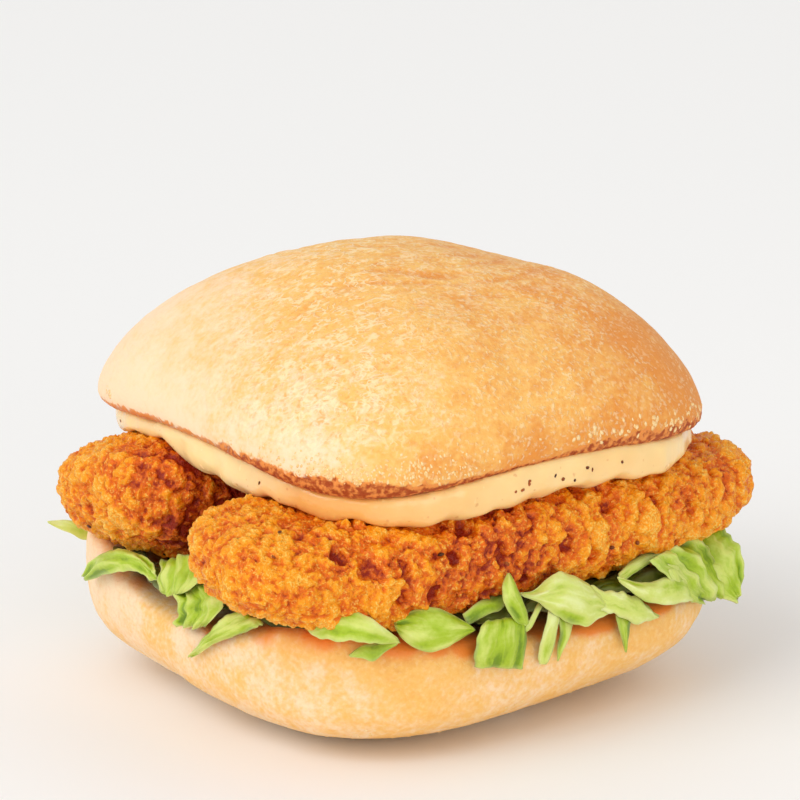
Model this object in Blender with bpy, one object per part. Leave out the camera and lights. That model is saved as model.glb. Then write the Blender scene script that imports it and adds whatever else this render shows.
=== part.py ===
"""A chicken burger: two breaded chicken fillets on shredded lettuce, under a layer of
peppered mayonnaise, in a square roll cut into a heel and a crown.

Metres, +Z up. The origin is the middle of the heel's underside. +X runs along the fillets,
and the roll's four sides face +X, -X, +Y and -Y.
"""

import math

import bmesh
import bpy
from mathutils import Vector, noise

# The roll, which is as wide as it is deep. Its outline is a superellipse
ROLL_SIDE = 0.1025
ROLL_SQUARENESS = 3.5
ROLL_WOBBLE = 0.0009
ROLL_WOBBLE_SIZE = 0.030

# The heel: its height, where it is widest, and how round its edges are (2 is a full round)
HEEL_TOP = 0.0229
HEEL_WIDEST = 0.0178
HEEL_SPREAD = 1.04
HEEL_TOP_EDGE = 4.0
HEEL_LOWER_EDGE = 2.35
HEEL_NEAR_CORNER_EDGE = 4.3
HEEL_FLATTENED = 1.12

# The heel's turned-up corners: (direction, rise) of the -X +Y and the -X -Y one. They rise
# between two shares of the way out towards the corner, and the heel's side is stretched for
# that between two heights
TURNED_UP_CORNERS = ((0.75 * math.pi, 0.0080), (-0.75 * math.pi, 0.0048))
TURN_UP_REACH = (0.78, 1.20)
TURN_UP_HEIGHTS = (0.0120, 0.0200)

# The crown, and how far it sags: all round its rim, at its corners, from its +X +Y corner
# to its -X -Y corner, and from its -X +Y corner to its +X -Y corner
CROWN_CUT = 0.0542
CROWN_WIDEST = 0.0605
CROWN_TOP = 0.0860
CROWN_DOME = 1.85
CROWN_LOWER_EDGE = 3.4
CROWN_SHIFT = Vector((0.0012, -0.0010, 0.0))
RIM_SAG = 0.0020
CORNER_SAG = 0.0055
NEAR_SAG = 0.0028
SIDE_SAG = 0.0007

# The fillets. A bend is how far the -X end and the +X end lift, a roll is how much higher
# the -X end's +Y side is than its middle, and girths are (width, height) shares at the -X
# end, the middle and the +X end
FILLET_WIDTH = 0.042
FILLET_HEIGHT = 0.0225
FILLET_BLUNTNESS = 3.0
FILLET_SECTION = 2.7
FILLET_LUMPS = ((0.0016, 0.016), (0.0009, 0.008))
FRONT_FILLET_ENDS = (-0.0650, 0.0615)
FRONT_FILLET_MIDDLE = (-0.0312, 0.0367)
FRONT_FILLET_BEND = (0.0038, 0.0016)
FRONT_FILLET_ROLL = 0.0046
FRONT_FILLET_GIRTHS = ((1.16, 1.02), (1.0, 1.0), (0.92, 0.92))
REAR_FILLET_ENDS = (-0.0590, 0.0570)
REAR_FILLET_MIDDLE = (0.0200, 0.0376)
REAR_FILLET_BEND = (0.0046, 0.0)
REAR_FILLET_ROLL = -0.0038
REAR_FILLET_GIRTHS = ((1.22, 1.42), (1.0, 1.0), (0.90, 0.90))

# The mayonnaise: how far it rises round the crown's rim, how deep it droops below that, and
# how round its upper and lower edges are
SAUCE_RISE = 0.0015
SAUCE_DROOP = 0.0096
SAUCE_SPREAD = 0.975
SAUCE_TOP_EDGE = 4.0
SAUCE_LOWER_EDGE = 2.4
SAUCE_SHIFT = Vector((0.0022, -0.0018, 0.0))
SAUCE_RIPPLE = (0.2, 0.018)
SAUCE_THINNING = 0.6

# The lettuce: (times round, share of the reach) ripples in its outline, and (direction,
# reach, lift, spread) tufts that stick out further
LETTUCE_TOP = 0.0315
LETTUCE_EDGE = 3.0
LETTUCE_SPILL = 1.05
LETTUCE_RIPPLES = ((7, 0.03), (13, 0.02))
LETTUCE_HANG = 0.0035
LETTUCE_HANG_RIPPLE = 0.0020
LETTUCE_TUFTS = ((2.46, 0.0076, -0.0034, 0.20), (-0.68, 0.0073, -0.0020, 0.30))

# The space that neighbours keep, and how finely the solids are faceted
GAP = 0.0003
ROLL_SEGMENTS = 12
LAYER_SEGMENTS = 10
FILLET_AROUND = 22
FILLET_ALONG = 26


def clear_scene():
    """Removes what the startup scene holds."""
    for obj in list(bpy.data.objects):
        bpy.data.objects.remove(obj, do_unlink=True)


def new_collection(name):
    """A collection linked to the scene."""
    collection = bpy.data.collections.new(name)
    bpy.context.scene.collection.children.link(collection)
    return collection


def material(name, colour, roughness):
    """A plain food surface."""
    made = bpy.data.materials.new(name)
    made.use_nodes = True
    shader = made.node_tree.nodes["Principled BSDF"]
    shader.inputs["Base Color"].default_value = (*colour, 1.0)
    shader.inputs["Roughness"].default_value = roughness
    shader.inputs["Metallic"].default_value = 0.0
    return made


def finish_object(name, bm, collection, surface):
    """Turns a bmesh into a smooth-shaded object of triangles in that collection."""
    mesh = bpy.data.meshes.new(name)
    bmesh.ops.recalc_face_normals(bm, faces=bm.faces[:])
    bmesh.ops.triangulate(bm, faces=bm.faces[:])
    bm.to_mesh(mesh)
    bm.free()
    mesh.shade_smooth()
    mesh.materials.append(surface)
    obj = bpy.data.objects.new(name, mesh)
    collection.objects.link(obj)
    return obj


# Shapes that the pieces share


def superellipse(angle, exponent):
    """The point at that polar angle of a unit superellipse: 2 is a circle, more is squarer."""
    c = math.cos(angle)
    s = math.sin(angle)
    reach = (abs(c) ** exponent + abs(s) ** exponent) ** (-1.0 / exponent)
    return reach * c, reach * s


def latitude(height):
    """The angle above the equator of a point at that height on a unit sphere."""
    return math.asin(max(-1.0, min(1.0, height)))


def plan_radius(angle):
    """How far the square roll reaches from its middle in that direction, seen from above."""
    x, y = superellipse(angle, ROLL_SQUARENESS)
    return ROLL_SIDE / 2 * math.hypot(x, y)


def quad_sphere(segments):
    """A unit sphere made from a cube whose faces are grids of that many squares a side."""
    bm = bmesh.new()
    bmesh.ops.create_cube(bm, size=2.0)
    bmesh.ops.subdivide_edges(bm, edges=bm.edges[:], cuts=segments - 1, use_grid_fill=True)
    for vert in bm.verts:
        vert.co = Vector(math.tan(c * math.pi / 4) for c in vert.co).normalized()
    return bm


def lumps(point, size, seed):
    """Smooth noise from -1 to 1 whose lumps are about that size."""
    return noise.noise(point / size + Vector((seed, 2.7 * seed, 5.1 * seed)))


def cushion_point(direction, widest, rise, drop):
    """A point of a cushion with the roll's outline. Rise and drop are (height, exponent) pairs
    for its upper and lower half, measured from the height where it is widest."""
    around = math.atan2(direction.y, direction.x)
    height, exponent = rise if direction.z > 0 else drop
    across, up = superellipse(latitude(direction.z), exponent)
    reach = plan_radius(around) * across
    return Vector((reach * math.cos(around), reach * math.sin(around), widest + height * up))


def crown_sag(x, y):
    """How far the soft crown is above or below its middle there."""
    half = ROLL_SIDE / 2
    rim = (x * x + y * y) / half ** 2
    corner = (x / half) ** 2 * (y / half) ** 2
    near = (x + y) * abs(x + y) / ROLL_SIDE ** 2
    side = (x - y) / half
    return NEAR_SAG * near - RIM_SAG * rim - CORNER_SAG * corner - SIDE_SAG * side


# The roll


def make_crown(collection, surface):
    """The top of the roll: a dome with a cut underside and a rounded lower rim."""
    bm = quad_sphere(ROLL_SEGMENTS)
    rise = (CROWN_TOP - CROWN_WIDEST, CROWN_DOME)
    drop = (CROWN_WIDEST - CROWN_CUT, CROWN_LOWER_EDGE)
    for vert in bm.verts:
        point = cushion_point(vert.co, CROWN_WIDEST, rise, drop)
        wobble = ROLL_WOBBLE * lumps(point, ROLL_WOBBLE_SIZE, 3.0)
        point *= 1 + wobble / (ROLL_SIDE / 2)
        point.z += crown_sag(point.x, point.y)
        vert.co = point + CROWN_SHIFT
    return finish_object("crown", bm, collection, surface)


def share_between(value, limits):
    """How far the value is from the lower limit to the upper one, from 0 to 1."""
    lower, upper = limits
    return max(0.0, min(1.0, (value - lower) / (upper - lower)))


def turned_up(x, y):
    """How far the heel's turned-up corners lift what lies there."""
    lift = 0.0
    for direction, rise in TURNED_UP_CORNERS:
        out = (x * math.cos(direction) + y * math.sin(direction)) / (ROLL_SIDE / 2)
        lift += rise * share_between(out, TURN_UP_REACH)
    return lift


def make_heel(collection, surface):
    """The bottom of the roll: full sides that turn under to a flat base."""
    bm = quad_sphere(ROLL_SEGMENTS)
    rise = (HEEL_TOP - HEEL_WIDEST, HEEL_TOP_EDGE)
    for vert in bm.verts:
        near = max(0.0, -(vert.co.x + vert.co.y) / math.sqrt(2)) ** 4
        lower_edge = HEEL_LOWER_EDGE + (HEEL_NEAR_CORNER_EDGE - HEEL_LOWER_EDGE) * near
        drop = (HEEL_WIDEST * HEEL_FLATTENED, lower_edge)
        point = cushion_point(vert.co, HEEL_WIDEST, rise, drop)
        wobble = ROLL_WOBBLE * lumps(point, ROLL_WOBBLE_SIZE, 9.0)
        spread = HEEL_SPREAD + wobble / (ROLL_SIDE / 2)
        point = Vector((point.x * spread, point.y * spread, max(0.0, point.z)))
        point.z += turned_up(point.x, point.y) * share_between(point.z, TURN_UP_HEIGHTS)
        vert.co = point
    return finish_object("heel", bm, collection, surface)


# The fillets


def make_fillet(name, ends, middle, bend, roll, girths, seed, collection, surface):
    """A breaded fillet along X, with a rounded end at each side of its middle."""
    bm = bmesh.new()
    bmesh.ops.create_uvsphere(bm, u_segments=FILLET_AROUND, v_segments=FILLET_ALONG, radius=1.0)
    half = (ends[1] - ends[0]) / 2
    centre = (ends[1] + ends[0]) / 2
    y, z = middle
    for vert in bm.verts:
        pole, side, up = vert.co.z, vert.co.y, vert.co.x
        girth, along = superellipse(latitude(pole), FILLET_BLUNTNESS)
        across, raised = superellipse(math.atan2(up, side), FILLET_SECTION)
        end_share = along * along
        end = 0 if along < 0 else 2
        wide, high = (
            girth * (middle_girth * (1 - end_share) + end_girth * end_share)
            for middle_girth, end_girth in zip(girths[1], girths[end])
        )
        lift = bend[0] if along < 0 else bend[1]
        rolled = roll * wide * across * end_share if along < 0 else 0.0
        point = Vector((
            centre + half * along,
            y + FILLET_WIDTH / 2 * wide * across,
            z + lift * end_share ** 2 + rolled + FILLET_HEIGHT / 2 * high * raised,
        ))
        outward = Vector((0.3 * along, across, raised)).normalized()
        for order, (depth, size) in enumerate(FILLET_LUMPS):
            point += outward * depth * lumps(point, size, seed + order)
        vert.co = point
    return finish_object(name, bm, collection, surface)


# The soft layers between the fillets and the roll


def swollen(obj, helpers):
    """A hidden copy of a piece, grown by the gap that its neighbours keep to it."""
    copy = bpy.data.objects.new(obj.name + "_swollen", obj.data)
    helpers.objects.link(copy)
    grow = copy.modifiers.new("grow", "DISPLACE")
    grow.strength = GAP
    grow.mid_level = 0.0
    copy.hide_render = True
    copy.display_type = "WIRE"
    return copy


def cut_by(obj, cutters):
    """Takes the cutters' shapes out of the piece."""
    for cutter in cutters:
        cut = obj.modifiers.new("clear_of_" + cutter.name, "BOOLEAN")
        cut.operation = "DIFFERENCE"
        cut.solver = "EXACT"
        cut.object = cutter


def make_sauce(collection, surface, cutters):
    """The mayonnaise: it fills the space under the crown and runs over the fillets' shoulders.
    It thins out towards its +X -Y corner."""
    bm = quad_sphere(LAYER_SEGMENTS)
    ripple, ripple_size = SAUCE_RIPPLE
    for vert in bm.verts:
        around = math.atan2(vert.co.y, vert.co.x)
        edge = SAUCE_TOP_EDGE if vert.co.z > 0 else SAUCE_LOWER_EDGE
        across, up = superellipse(latitude(vert.co.z), edge)
        reach = plan_radius(around) * SAUCE_SPREAD * across
        x = reach * math.cos(around) + SAUCE_SHIFT.x
        y = reach * math.sin(around) + SAUCE_SHIFT.y
        thinned = SAUCE_THINNING * max(0.0, (x - y) / ROLL_SIDE) ** 3
        rippled = ripple * lumps(Vector((x, y, 0.0)), ripple_size, 4.0)
        depth = SAUCE_RISE if up > 0 else SAUCE_DROOP * (1 - thinned + rippled)
        vert.co = Vector((x, y, CROWN_CUT + depth * up + crown_sag(x, y)))
    sauce = finish_object("sauce", bm, collection, surface)
    cut_by(sauce, cutters)
    return sauce


def lettuce_outline(around):
    """How far the shreds spill out in that direction, and how far their tips hang down."""
    spill = LETTUCE_SPILL
    for times, share in LETTUCE_RIPPLES:
        spill += share * math.sin(times * (around + 0.14))
    reach = plan_radius(around) * spill
    hang = LETTUCE_HANG + LETTUCE_HANG_RIPPLE * math.sin(9 * around)
    for direction, further, lift, spread in LETTUCE_TUFTS:
        away = (around - direction + math.pi) % (2 * math.pi) - math.pi
        share = math.exp(-((away / spread) ** 2))
        reach += further * share
        hang -= lift * share
    return reach, hang


def make_lettuce(collection, surface, cutters):
    """The bed of shredded lettuce, out to its uneven outline. It follows the heel's turned-up
    corners, and its edge droops over the heel."""
    bm = quad_sphere(LAYER_SEGMENTS)
    floor = HEEL_TOP + GAP
    thickness = LETTUCE_TOP - floor
    for vert in bm.verts:
        around = math.atan2(vert.co.y, vert.co.x)
        across, up = superellipse(latitude(vert.co.z), LETTUCE_EDGE)
        outline, hang = lettuce_outline(around)
        reach = outline * across
        supported = 0.9 * plan_radius(around)
        overhang = max(0.0, reach - supported) / (outline - supported)
        x = reach * math.cos(around)
        y = reach * math.sin(around)
        z = floor + thickness / 2 * (1 + up) + turned_up(x, y) - hang * overhang ** 1.5
        vert.co = Vector((x, y, z))
    lettuce = finish_object("lettuce", bm, collection, surface)
    cut_by(lettuce, cutters)
    return lettuce


def main():
    clear_scene()
    burger = new_collection("chicken_burger")
    helpers = new_collection("helpers")
    crust = material("bread_crust", (0.86, 0.58, 0.28), 0.75)
    breading = material("fried_breading", (0.72, 0.28, 0.04), 0.6)
    mayonnaise = material("mayonnaise", (0.90, 0.66, 0.36), 0.3)
    leaf = material("lettuce_leaf", (0.38, 0.58, 0.10), 0.45)

    heel = make_heel(burger, crust)
    crown = make_crown(burger, crust)
    front = make_fillet(
        "fillet_front", FRONT_FILLET_ENDS, FRONT_FILLET_MIDDLE, FRONT_FILLET_BEND,
        FRONT_FILLET_ROLL, FRONT_FILLET_GIRTHS, 11.0, burger, breading,
    )
    rear = make_fillet(
        "fillet_rear", REAR_FILLET_ENDS, REAR_FILLET_MIDDLE, REAR_FILLET_BEND,
        REAR_FILLET_ROLL, REAR_FILLET_GIRTHS, 23.0, burger, breading,
    )
    around_heel, around_crown, around_front, around_rear = (
        swollen(piece, helpers) for piece in (heel, crown, front, rear)
    )
    make_sauce(burger, mayonnaise, (around_front, around_rear, around_crown))
    make_lettuce(burger, leaf, (around_heel, around_front, around_rear))


main()
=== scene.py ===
import math
from itertools import product

import bmesh
import bpy
import numpy as np
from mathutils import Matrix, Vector
from mathutils.bvhtree import BVHTree
from mathutils.kdtree import KDTree


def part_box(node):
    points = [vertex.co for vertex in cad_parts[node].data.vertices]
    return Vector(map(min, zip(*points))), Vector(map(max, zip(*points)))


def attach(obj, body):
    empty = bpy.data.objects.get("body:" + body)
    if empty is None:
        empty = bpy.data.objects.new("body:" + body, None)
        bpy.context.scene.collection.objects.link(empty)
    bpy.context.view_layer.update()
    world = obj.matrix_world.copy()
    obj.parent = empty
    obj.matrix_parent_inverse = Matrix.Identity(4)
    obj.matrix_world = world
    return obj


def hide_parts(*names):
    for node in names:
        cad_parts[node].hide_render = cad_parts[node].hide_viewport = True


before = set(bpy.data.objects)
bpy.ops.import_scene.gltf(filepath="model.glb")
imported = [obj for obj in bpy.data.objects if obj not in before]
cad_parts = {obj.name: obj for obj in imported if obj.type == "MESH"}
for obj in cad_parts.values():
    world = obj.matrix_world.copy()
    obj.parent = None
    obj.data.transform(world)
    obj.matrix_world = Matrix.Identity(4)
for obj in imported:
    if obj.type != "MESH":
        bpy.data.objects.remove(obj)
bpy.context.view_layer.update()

# ---------------------------------------------------------------------------
# The heel: the bottom half of a square, soft white roll, baked pale. Its skin is smooth, matte
# and a little mottled. Its upper rim is orange in patches: partly oily sauce that has run onto
# it, partly painted warm shade under the leaves and the fillet.
# ---------------------------------------------------------------------------


def colour(red, green, blue):
    """A linear colour from its usual 0 to 255 values."""
    parts = (c / 255 for c in (red, green, blue))
    return (*(p / 12.92 if p < 0.04045 else ((p + 0.055) / 1.055) ** 2.4 for p in parts), 1.0)


def scrambled(cells, seed):
    """A whole number for each cell of a grid, the same every time but in no order."""
    c = cells.astype(np.uint64)
    h = c[:, 0] * np.uint64(73856093) ^ c[:, 1] * np.uint64(19349663)
    h ^= c[:, 2] * np.uint64(83492791) ^ np.uint64(seed * 2654435761 + 12345)
    for _ in range(2):
        h = (h ^ (h >> np.uint64(15))) * np.uint64(0x2C1B3C6D) & np.uint64(0xFFFFFFFF)
        h = (h ^ (h >> np.uint64(12))) * np.uint64(0x297A2D39) & np.uint64(0xFFFFFFFF)
    return h ^ (h >> np.uint64(15))


SLOPES = np.random.default_rng(5).normal(size=(256, 3))
SLOPES /= np.linalg.norm(SLOPES, axis=1)[:, None]
CELL_OFFSET = 1 << 20


def lumps(points, size, seed):
    """Smooth noise from about -1 to 1 at the points, in lumps of that size."""
    p = points / size + CELL_OFFSET
    cell = np.floor(p).astype(np.int64)
    part = p - cell
    fade = part ** 3 * (part * (part * 6 - 15) + 10)
    total = np.zeros(len(points))
    for corner in product((0, 1), repeat=3):
        slope = SLOPES[(scrambled(cell + corner, seed) & np.uint64(255)).astype(np.int64)]
        share = np.where(corner, fade, 1 - fade).prod(axis=1)
        total += share * ((part - corner) * slope).sum(axis=1)
    return 1.7 * total


def smooth(value, low, high):
    """0 below low, 1 above high, and an even S curve between them."""
    t = np.clip((value - low) / (high - low), 0, 1)
    return t * t * (3 - 2 * t)


def new_piece(name, mesh):
    """An object with that mesh, in the scene."""
    piece = bpy.data.objects.new(name, mesh)
    bpy.context.scene.collection.objects.link(piece)
    return piece


def even_squares(piece, square, rounds):
    """Remakes the piece's skin in small even squares and rounds its facets off."""
    weld = piece.modifiers.new("weld", "WELD")
    weld.merge_threshold = 1e-5
    squares = piece.modifiers.new("squares", "REMESH")
    squares.mode = "VOXEL"
    squares.voxel_size = square
    rounding = piece.modifiers.new("rounding", "SMOOTH")
    rounding.iterations = rounds
    rounding.factor = 0.5
    graph = bpy.context.evaluated_depsgraph_get()
    mesh = bpy.data.meshes.new_from_object(piece.evaluated_get(graph))
    piece.modifiers.clear()
    piece.data = mesh
    mesh.name = piece.name
    mesh.shade_smooth()


def dense_copy(node, name, square, rounds):
    """A CAD node's shape as a new piece, with its points and the directions it faces there."""
    piece = new_piece(name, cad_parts[node].data.copy())
    even_squares(piece, square, rounds)
    return piece, *shape_of(piece)


def shape_of(piece):
    """The piece's points and the directions its surface faces there."""
    mesh = piece.data
    points = np.empty(len(mesh.vertices) * 3)
    mesh.vertices.foreach_get("co", points)
    facing = np.empty(len(mesh.vertices) * 3)
    mesh.vertex_normals.foreach_get("vector", facing)
    return points.reshape(-1, 3), facing.reshape(-1, 3)


def move_points(piece, points):
    """Puts the piece's points there."""
    piece.data.vertices.foreach_set("co", points.ravel())
    piece.data.update()


def note(piece, **kept):
    """Keeps numbers, or places, for each point of the piece."""
    for name, values in kept.items():
        kind, field = ("FLOAT", "value") if values.ndim == 1 else ("FLOAT_VECTOR", "vector")
        made = piece.data.attributes.new(name, kind, "POINT")
        made.data.foreach_set(field, values.astype(np.float32).ravel())


class Field:
    """What a shader node gives at each place on a surface. It adds, subtracts and multiplies
    like a number."""

    def __init__(self, socket):
        self.socket = socket
        self.tree = socket.id_data

    def __add__(self, other):
        return calc("ADD", self, other)

    def __sub__(self, other):
        return calc("SUBTRACT", self, other)

    def __rsub__(self, other):
        return calc("SUBTRACT", other, self)

    def __mul__(self, other):
        return calc("MULTIPLY", self, other)

    def __abs__(self):
        return calc("ABSOLUTE", self)

    __radd__ = __add__
    __rmul__ = __mul__


def put(tree, kind, sockets, output=0, **properties):
    """Adds a shader node and gives one of its outputs. Its sockets, by name or number, take
    fields or plain values."""
    made = tree.nodes.new(kind)
    for name, value in properties.items():
        setattr(made, name, value)
    for key, value in sockets.items():
        if isinstance(value, Field):
            tree.links.new(value.socket, made.inputs[key])
        else:
            made.inputs[key].default_value = value
    return Field(made.outputs[output])


def calc(operation, *values):
    """A sum or other calculation with numbers, at least one of them a field."""
    tree = next(value.tree for value in values if isinstance(value, Field))
    return put(tree, "ShaderNodeMath", dict(enumerate(values)), operation=operation)


def step(value, low, high):
    """0 below low, 1 above high, and an S curve between them. It falls if low is the higher."""
    return put(value.tree, "ShaderNodeMapRange",
               {"Value": value, "From Min": low, "From Max": high},
               interpolation_type="SMOOTHSTEP")


def blend(share, a, b):
    """Colour a turning into colour b."""
    return put(share.tree, "ShaderNodeMix", {0: share, 6: a, 7: b}, 2, data_type="RGBA")


def grain(place, size, detail=3.0, distortion=0.0):
    """Noise from 0 to 1 whose lumps are about that many metres."""
    return put(place.tree, "ShaderNodeTexNoise",
               {"Vector": place, "Scale": 1 / size, "Detail": detail, "Distortion": distortion})


def shifted(place, *by):
    """The place moved, so that the same noise gives another pattern."""
    return put(place.tree, "ShaderNodeVectorMath", {0: place, 1: by}, operation="ADD")


def streaked(place, turn, stretch):
    """The place turned and drawn out one way, so that noise becomes streaks."""
    turned = put(place.tree, "ShaderNodeVectorRotate",
                 {"Vector": place, "Axis": (0.35, 0.50, 0.79), "Angle": turn},
                 rotation_type="AXIS_ANGLE")
    return put(place.tree, "ShaderNodeVectorMath", {0: turned, 1: (stretch, 1.0, 1.0)},
               operation="MULTIPLY")


def new_group(name, inputs, attribute=None):
    """A shader node group whose inputs are names with a number or a colour. It gives them as
    fields, and the place in the object or the place kept for each point."""
    tree = bpy.data.node_groups.new(name, "ShaderNodeTree")
    for label, value in inputs.items():
        kind = "NodeSocketColor" if isinstance(value, tuple) else "NodeSocketFloat"
        socket = tree.interface.new_socket(label, in_out="INPUT", socket_type=kind)
        socket.default_value = value
    source = tree.nodes.new("NodeGroupInput")
    if attribute:
        place = put(tree, "ShaderNodeAttribute", {}, "Vector", attribute_name=attribute)
    else:
        place = put(tree, "ShaderNodeTexCoord", {}, "Object")
    return {label: Field(source.outputs[label]) for label in inputs}, place


def closed_group(**results):
    """The group that those fields were built in, with them as its named outputs."""
    tree = results["Color"].tree
    for label in results:
        kind = "NodeSocketColor" if label == "Color" else "NodeSocketFloat"
        tree.interface.new_socket(label, in_out="OUTPUT", socket_type=kind)
    taken = tree.nodes.new("NodeGroupOutput").inputs
    for label, field in results.items():
        tree.links.new(field.socket, taken[label])
    return tree


def make_crust_group():
    """The skin of a pale roll: cream to gold to tan by how brown it is, mottled, with short
    pale creases and golden flecks, darker where its cut edge is toasted, and orange where
    sauce has soaked in and where warm shade is painted on."""
    given, place = new_group("roll_crust", {
        "Browning": 0.3, "Toasting": 0.0, "Stain": 0.0, "Creases": 0.0, "Grit": 0.0,
        "Mottling": 1.0, "Pale": colour(250, 218, 180), "Gold": colour(245, 190, 104),
        "Tan": colour(228, 144, 60), "Crease colour": colour(255, 232, 188),
        "Fleck colour": colour(236, 154, 62), "Toasted": colour(166, 70, 22),
        # The last colour below, the orange, paints both soaked-in sauce and warm shade
        "Toasted light": colour(232, 144, 68), "Stain colour": colour(245, 132, 40),
    })
    broad = grain(place, 0.014)
    patchy = grain(shifted(place, 0.3, 0.1, 0.7), 0.0042, 3.0, 0.4)
    fine = grain(shifted(place, 0.6, 0.5, 0.2), 0.0011)
    dust = grain(shifted(place, 0.9, 0.2, 0.4), 0.00045, 2.0)
    uneven = 0.55 * broad + 0.60 * patchy + 0.60 * fine - 0.875
    brown = given["Browning"] + given["Mottling"] * uneven
    skin = blend(step(brown, 0.05, 0.50), given["Pale"], given["Gold"])
    skin = blend(step(brown, 0.45, 1.05), skin, given["Tan"])
    flecks = step(grain(shifted(place, 0.7, 0.7, 0.1), 0.0013, 3.0, 0.5), 0.52, 0.70)
    skin = blend(0.60 * flecks * given["Creases"], skin, given["Fleck colour"])
    creases = 0.6 * step(dust, 0.60, 0.70)
    for number, (turn, size) in enumerate(((0.3, 0.0016), (1.4, 0.0013), (2.4, 0.0015))):
        here = shifted(place, 0.2 + number, 0.4, 0.9 - number)
        line = abs(grain(streaked(here, turn, 0.34), size, 1.0, 0.2) - 0.5)
        short = step(grain(shifted(here, 0.5, 0.5, 0.5), 0.0030, 2.0), 0.50, 0.62)
        creases = calc("MAXIMUM", creases, (1 - step(line, 0.020, 0.095)) * short)
    creases = creases * given["Creases"]
    skin = blend(0.60 * creases, skin, given["Crease colour"])
    grit = grain(shifted(place, 0.15, 0.35, 0.80), 0.00085, 2.0, 0.3)
    pale_grit = step(grit, 0.52, 0.66) * given["Grit"]
    dark_grit = step(grit, 0.48, 0.34) * given["Grit"]
    skin = blend(0.42 * pale_grit, skin, given["Crease colour"])
    skin = blend(0.38 * dark_grit, skin, given["Fleck colour"])
    speckle = step(fine + 0.30 - 0.32 * given["Toasting"], 0.38, 0.64)
    toasted = blend(speckle, given["Toasted"], given["Toasted light"])
    crumbly = given["Toasting"] + 1.3 * fine - 0.65
    skin = blend(step(crumbly, 0.28, 0.72), skin, toasted)
    return closed_group(
        # Orange where sauce has soaked in, and painted warm shade
        Color=blend(given["Stain"], skin, given["Stain colour"]),
        Roughness=0.18 * patchy - 0.25 * given["Stain"] + 0.56,
        Height=(0.45 * fine + 0.22 * dust + 0.50 * patchy + 0.40 * creases + 0.40 * pale_grit
                + 1.4 * fine * given["Toasting"]),
    )


def surface(name, group, constants, relief, kept=(), settings=None):
    """A material: a node group's colour, roughness and relief in metres on one shader. Each
    kept input of the group reads the number kept for the point under its name."""
    made = bpy.data.materials.new(name)
    made.use_nodes = True
    tree = made.node_tree
    shader = tree.nodes["Principled BSDF"]
    look = tree.nodes.new("ShaderNodeGroup")
    look.node_tree = group
    for label, value in (settings or {}).items():
        look.inputs[label].default_value = value
    for label in kept:
        number = put(tree, "ShaderNodeAttribute", {}, "Fac", attribute_name=label.lower())
        tree.links.new(number.socket, look.inputs[label])
    for label, socket in (("Color", "Base Color"), ("Roughness", "Roughness")):
        if label in look.outputs:
            tree.links.new(look.outputs[label], shader.inputs[socket])
    bump = put(tree, "ShaderNodeBump", {"Strength": 1.0, "Distance": relief,
                                        "Height": Field(look.outputs["Height"])})
    tree.links.new(bump.socket, shader.inputs["Normal"])
    for label, value in constants.items():
        shader.inputs[label].default_value = value
    return made


def finish(piece, material, node=None):
    """Covers the piece, puts it in its CAD node's stead and fixes it to the burger."""
    piece.data.materials.clear()
    piece.data.materials.append(material)
    if node:
        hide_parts(node)
    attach(piece, "root")


def spot(points, middle, reach):
    """1 at the middle, fading out round it. Both are in millimetres, for x, y and maybe z."""
    off = (points[:, :len(middle)] * 1000 - middle) / reach
    return np.exp(-(off ** 2).sum(axis=1))


BREAD = {
    "Subsurface Weight": 0.12, "Subsurface Radius": (0.0016, 0.0009, 0.0004),
    "Subsurface Scale": 1.0, "Specular IOR Level": 0.25, "Sheen Weight": 0.03,
    "Sheen Roughness": 0.6,
}
CRUST = make_crust_group()
RIGHT_CORNER = np.array([0.793, -0.609, 0.0])

# Orange patches on the rim, partly where the sauce has run onto it and partly painted warm
# shade under the leaves and the fillet: middle, width and height in millimetres, and strength
STAINS = (
    (-50.8, -14.0, 23.2, 6.0, 3.2, 1.0), (-51.0, -29.0, 24.6, 8.0, 2.8, 0.40),
    (-47.0, -39.0, 25.2, 7.0, 2.6, 0.45), (-36.0, -49.8, 24.2, 4.5, 2.4, 0.9),
    (-29.0, -52.4, 22.6, 5.0, 1.6, 0.5), (-21.0, -51.8, 23.2, 5.0, 2.6, 0.95),
    (-2.7, -50.6, 21.8, 4.5, 2.6, 1.0), (9.0, -51.8, 21.2, 6.5, 2.3, 1.0),
    (25.5, -50.6, 21.2, 6.5, 2.3, 0.9), (-51.0, 15.0, 24.4, 7.0, 2.4, 0.36),
    (-50.0, 27.0, 26.6, 6.0, 2.0, 0.16), (53.0, 12.0, 22.4, 7.0, 1.8, 0.6),
    (8.0, 53.0, 22.6, 6.0, 2.0, 0.7), (-30.0, 52.0, 22.6, 5.0, 1.6, 0.6),
)

heel, points, facing = dense_copy("heel", "heel_crust", square=0.0008, rounds=24)
heel_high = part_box("heel")[1]
sides = 1 - smooth(np.abs(facing[:, 2]), 0.75, 0.97)
upright_streaks = lumps(points * (1, 1, 0.2), 0.0046, 7)
soft = (0.00040 * lumps(points, 0.017, 1) + 0.00016 * lumps(points, 0.0055, 2)
        + 0.00008 * upright_streaks)
points = points + facing * (soft * (0.3 + 0.7 * sides))[:, None]
points[:, 2] = np.maximum(points[:, 2], 0.0)
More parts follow.
